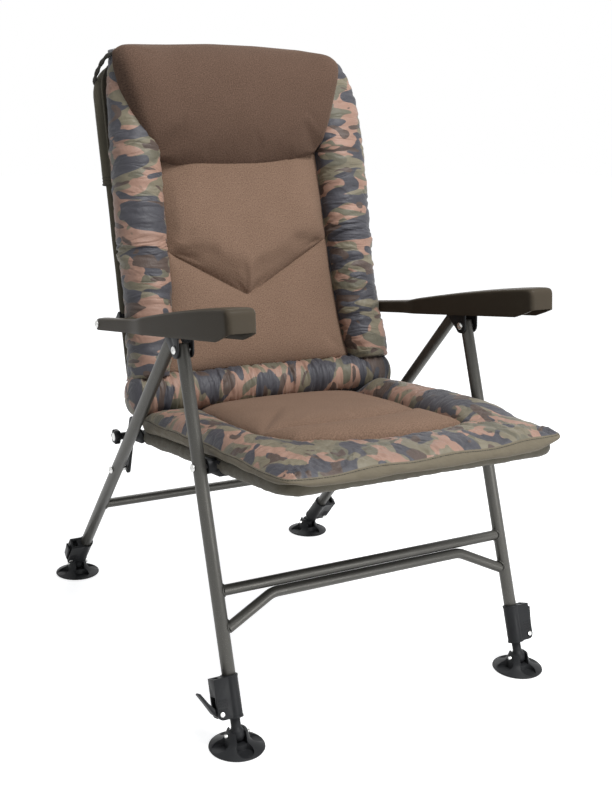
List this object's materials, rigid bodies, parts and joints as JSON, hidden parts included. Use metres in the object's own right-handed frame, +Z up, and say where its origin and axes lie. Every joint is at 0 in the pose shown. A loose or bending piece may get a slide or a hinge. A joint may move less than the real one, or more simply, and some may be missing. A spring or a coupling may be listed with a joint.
{
  "type": "folding fishing chair",
  "caption": "Folding carp fishing chair with padded seat and back, head pillow, lumbar roll, moulded arms and telescopic legs on swivelling mud feet.",
  "frame": {"origin": "on the ground under the middle of the chair", "axes": "+X to the left of a person sitting in it, +Y to the back, +Z up from the ground"},
  "size_m": [0.6725, 0.901, 1.0794],
  "materials": {
    "leg_paint": "satin metallic",
    "black_plastic": "matte",
    "arm_plastic": "fine grain",
    "bolt_steel": "zinc plated",
    "camouflage_fabric": "soft woven, printed camouflage",
    "brown_fabric": "soft brushed",
    "olive_fabric": "plain woven"
  },
  "bodies": {
    "seat": {"seat_frame": "leg_paint", "seat_sling": "olive_fabric", "seat_cushion": "camouflage_fabric", "seat_saddle_left": "black_plastic", "seat_saddle_right": "black_plastic", "hinge_plate_left": "black_plastic", "hinge_plate_right": "black_plastic"},
    "front_legs": {"front_crossbar_upper": "leg_paint", "front_crossbar_lower": "leg_paint", "front_leg_left": "leg_paint", "front_leg_right": "leg_paint", "leg_clamp_front_left": "black_plastic", "leg_clamp_front_right": "black_plastic", "cam_pin_front_left": "bolt_steel", "cam_pin_front_right": "bolt_steel", "seat_pivot_bolt_left": "bolt_steel", "seat_pivot_bolt_right": "bolt_steel"},
    "back": {"back_frame": "leg_paint", "back_sling": "olive_fabric", "back_cushion": "camouflage_fabric", "head_pillow": "brown_fabric", "lumbar_roll": "camouflage_fabric", "arm_lug_left": "black_plastic", "arm_lug_right": "black_plastic"},
    "arms": {"arm_left": "arm_plastic", "arm_right": "arm_plastic", "arm_bracket_left": "black_plastic", "arm_bracket_right": "black_plastic", "arm_front_bolt_left": "bolt_steel", "arm_front_bolt_right": "bolt_steel", "arm_rear_bolt_left": "bolt_steel", "arm_rear_bolt_right": "bolt_steel", "arm_end_bolt_left": "bolt_steel", "arm_end_bolt_right": "bolt_steel"},
    "rear_legs": {"rear_crossbar": "leg_paint", "rear_leg_left": "leg_paint", "rear_leg_right": "leg_paint", "leg_clamp_rear_left": "black_plastic", "leg_clamp_rear_right": "black_plastic", "cam_pin_rear_left": "bolt_steel", "cam_pin_rear_right": "bolt_steel", "lock_bar_left": "black_plastic", "lock_bar_right": "black_plastic", "lock_bar_bolt_left": "bolt_steel", "lock_bar_bolt_right": "bolt_steel"},
    "leg_extension_front_left": {"leg_extension_front_left": "black_plastic"},
    "foot_front_left": {"foot_front_left": "black_plastic"},
    "cam_lever_front_left": {"cam_lever_front_left": "black_plastic"},
    "leg_extension_front_right": {"leg_extension_front_right": "black_plastic"},
    "foot_front_right": {"foot_front_right": "black_plastic"},
    "cam_lever_front_right": {"cam_lever_front_right": "black_plastic"},
    "leg_extension_rear_left": {"leg_extension_rear_left": "black_plastic"},
    "foot_rear_left": {"foot_rear_left": "black_plastic"},
    "cam_lever_rear_left": {"cam_lever_rear_left": "black_plastic"},
    "leg_extension_rear_right": {"leg_extension_rear_right": "black_plastic"},
    "foot_rear_right": {"foot_rear_right": "black_plastic"},
    "cam_lever_rear_right": {"cam_lever_rear_right": "black_plastic"},
    "knob_left": {"hinge_knob_left": "black_plastic"},
    "knob_right": {"hinge_knob_right": "black_plastic"}
  },
  "joints": [
    {"name": "leg_fold", "type": "hinge", "parent": "seat", "child": "front_legs", "pos_m": [0, -0.21403, 0.41839], "axis": [1, 0, 0], "range_deg": [0, 80]},
    {"name": "back_fold", "type": "hinge", "parent": "seat", "child": "back", "pos_m": [0, 0.14342, 0.39797], "axis": [1, 0, 0], "range_deg": [0, 80], "deforming": ["seat_cushion", "seat_sling", "back_cushion", "lumbar_roll", "back_sling", "head_pillow"]},
    {"name": "arm_swing", "type": "hinge", "parent": "front_legs", "child": "arms", "pos_m": [0, -0.14852, 0.59642], "axis": [1, 0, 0], "range_deg": [-80, 0]},
    {"name": "rear_leg_fold", "type": "hinge", "parent": "arms", "child": "rear_legs", "pos_m": [0, -0.12452, 0.62602], "axis": [1, 0, 0], "range_deg": [0, 24]},
    {"name": "leg_slide_front_left", "type": "slide", "parent": "front_legs", "child": "leg_extension_front_left", "axis": [0, -0.3453, -0.9385], "range_m": [0, 0.12]},
    {"name": "foot_tilt_front_left", "type": "hinge", "parent": "leg_extension_front_left", "child": "foot_front_left", "pos_m": [0.285, -0.3595, 0.023], "axis": [1, 0, 0], "range_deg": [-20, 20]},
    {"name": "cam_front_left", "type": "hinge", "parent": "front_legs", "child": "cam_lever_front_left", "pos_m": [0.31, -0.34672, 0.05772], "axis": [0, 0.9385, -0.3453], "range_deg": [0, 90]},
    {"name": "leg_slide_front_right", "type": "slide", "parent": "front_legs", "child": "leg_extension_front_right", "axis": [0, -0.3453, -0.9385], "range_m": [0, 0.12]},
    {"name": "foot_tilt_front_right", "type": "hinge", "parent": "leg_extension_front_right", "child": "foot_front_right", "pos_m": [-0.285, -0.3595, 0.023], "axis": [1, 0, 0], "range_deg": [-20, 20]},
    {"name": "cam_front_right", "type": "hinge", "parent": "front_legs", "child": "cam_lever_front_right", "pos_m": [-0.31, -0.34672, 0.05772], "axis": [0, -0.9385, 0.3453], "range_deg": [-25, 65]},
    {"name": "leg_slide_rear_left", "type": "slide", "parent": "rear_legs", "child": "leg_extension_rear_left", "axis": [0, 0.6601, -0.7512], "range_m": [0, 0.12]},
    {"name": "foot_tilt_rear_left", "type": "hinge", "parent": "leg_extension_rear_left", "child": "foot_rear_left", "pos_m": [0.285, 0.4055, 0.023], "axis": [1, 0, 0], "range_deg": [-20, 20]},
    {"name": "cam_rear_left", "type": "hinge", "parent": "rear_legs", "child": "cam_lever_rear_left", "pos_m": [0.31, 0.38107, 0.05079], "axis": [0, 0.7512, 0.6601], "range_deg": [0, 90]},
    {"name": "leg_slide_rear_right", "type": "slide", "parent": "rear_legs", "child": "leg_extension_rear_right", "axis": [0, 0.6601, -0.7512], "range_m": [0, 0.12]},
    {"name": "foot_tilt_rear_right", "type": "hinge", "parent": "leg_extension_rear_right", "child": "foot_rear_right", "pos_m": [-0.285, 0.4055, 0.023], "axis": [1, 0, 0], "range_deg": [-20, 20]},
    {"name": "cam_rear_right", "type": "hinge", "parent": "rear_legs", "child": "cam_lever_rear_right", "pos_m": [-0.31, 0.38107, 0.05079], "axis": [0, -0.7512, -0.6601], "range_deg": [0, 90]},
    {"name": "knob_turn_left", "type": "hinge", "parent": "seat", "child": "knob_left", "pos_m": [0.26, 0.14058, 0.37485], "axis": [1, 0, 0], "continuous": true},
    {"name": "knob_turn_right", "type": "hinge", "parent": "seat", "child": "knob_right", "pos_m": [-0.26, 0.14058, 0.37485], "axis": [1, 0, 0], "continuous": true}
  ],
  "couplings": [
    {"joint": "back_fold", "follows": "leg_fold", "ratio": 1},
    {"joint": "arm_swing", "follows": "leg_fold", "ratio": -1},
    {"joint": "rear_leg_fold", "follows": "leg_fold", "ratio": 0.3}
  ]
}
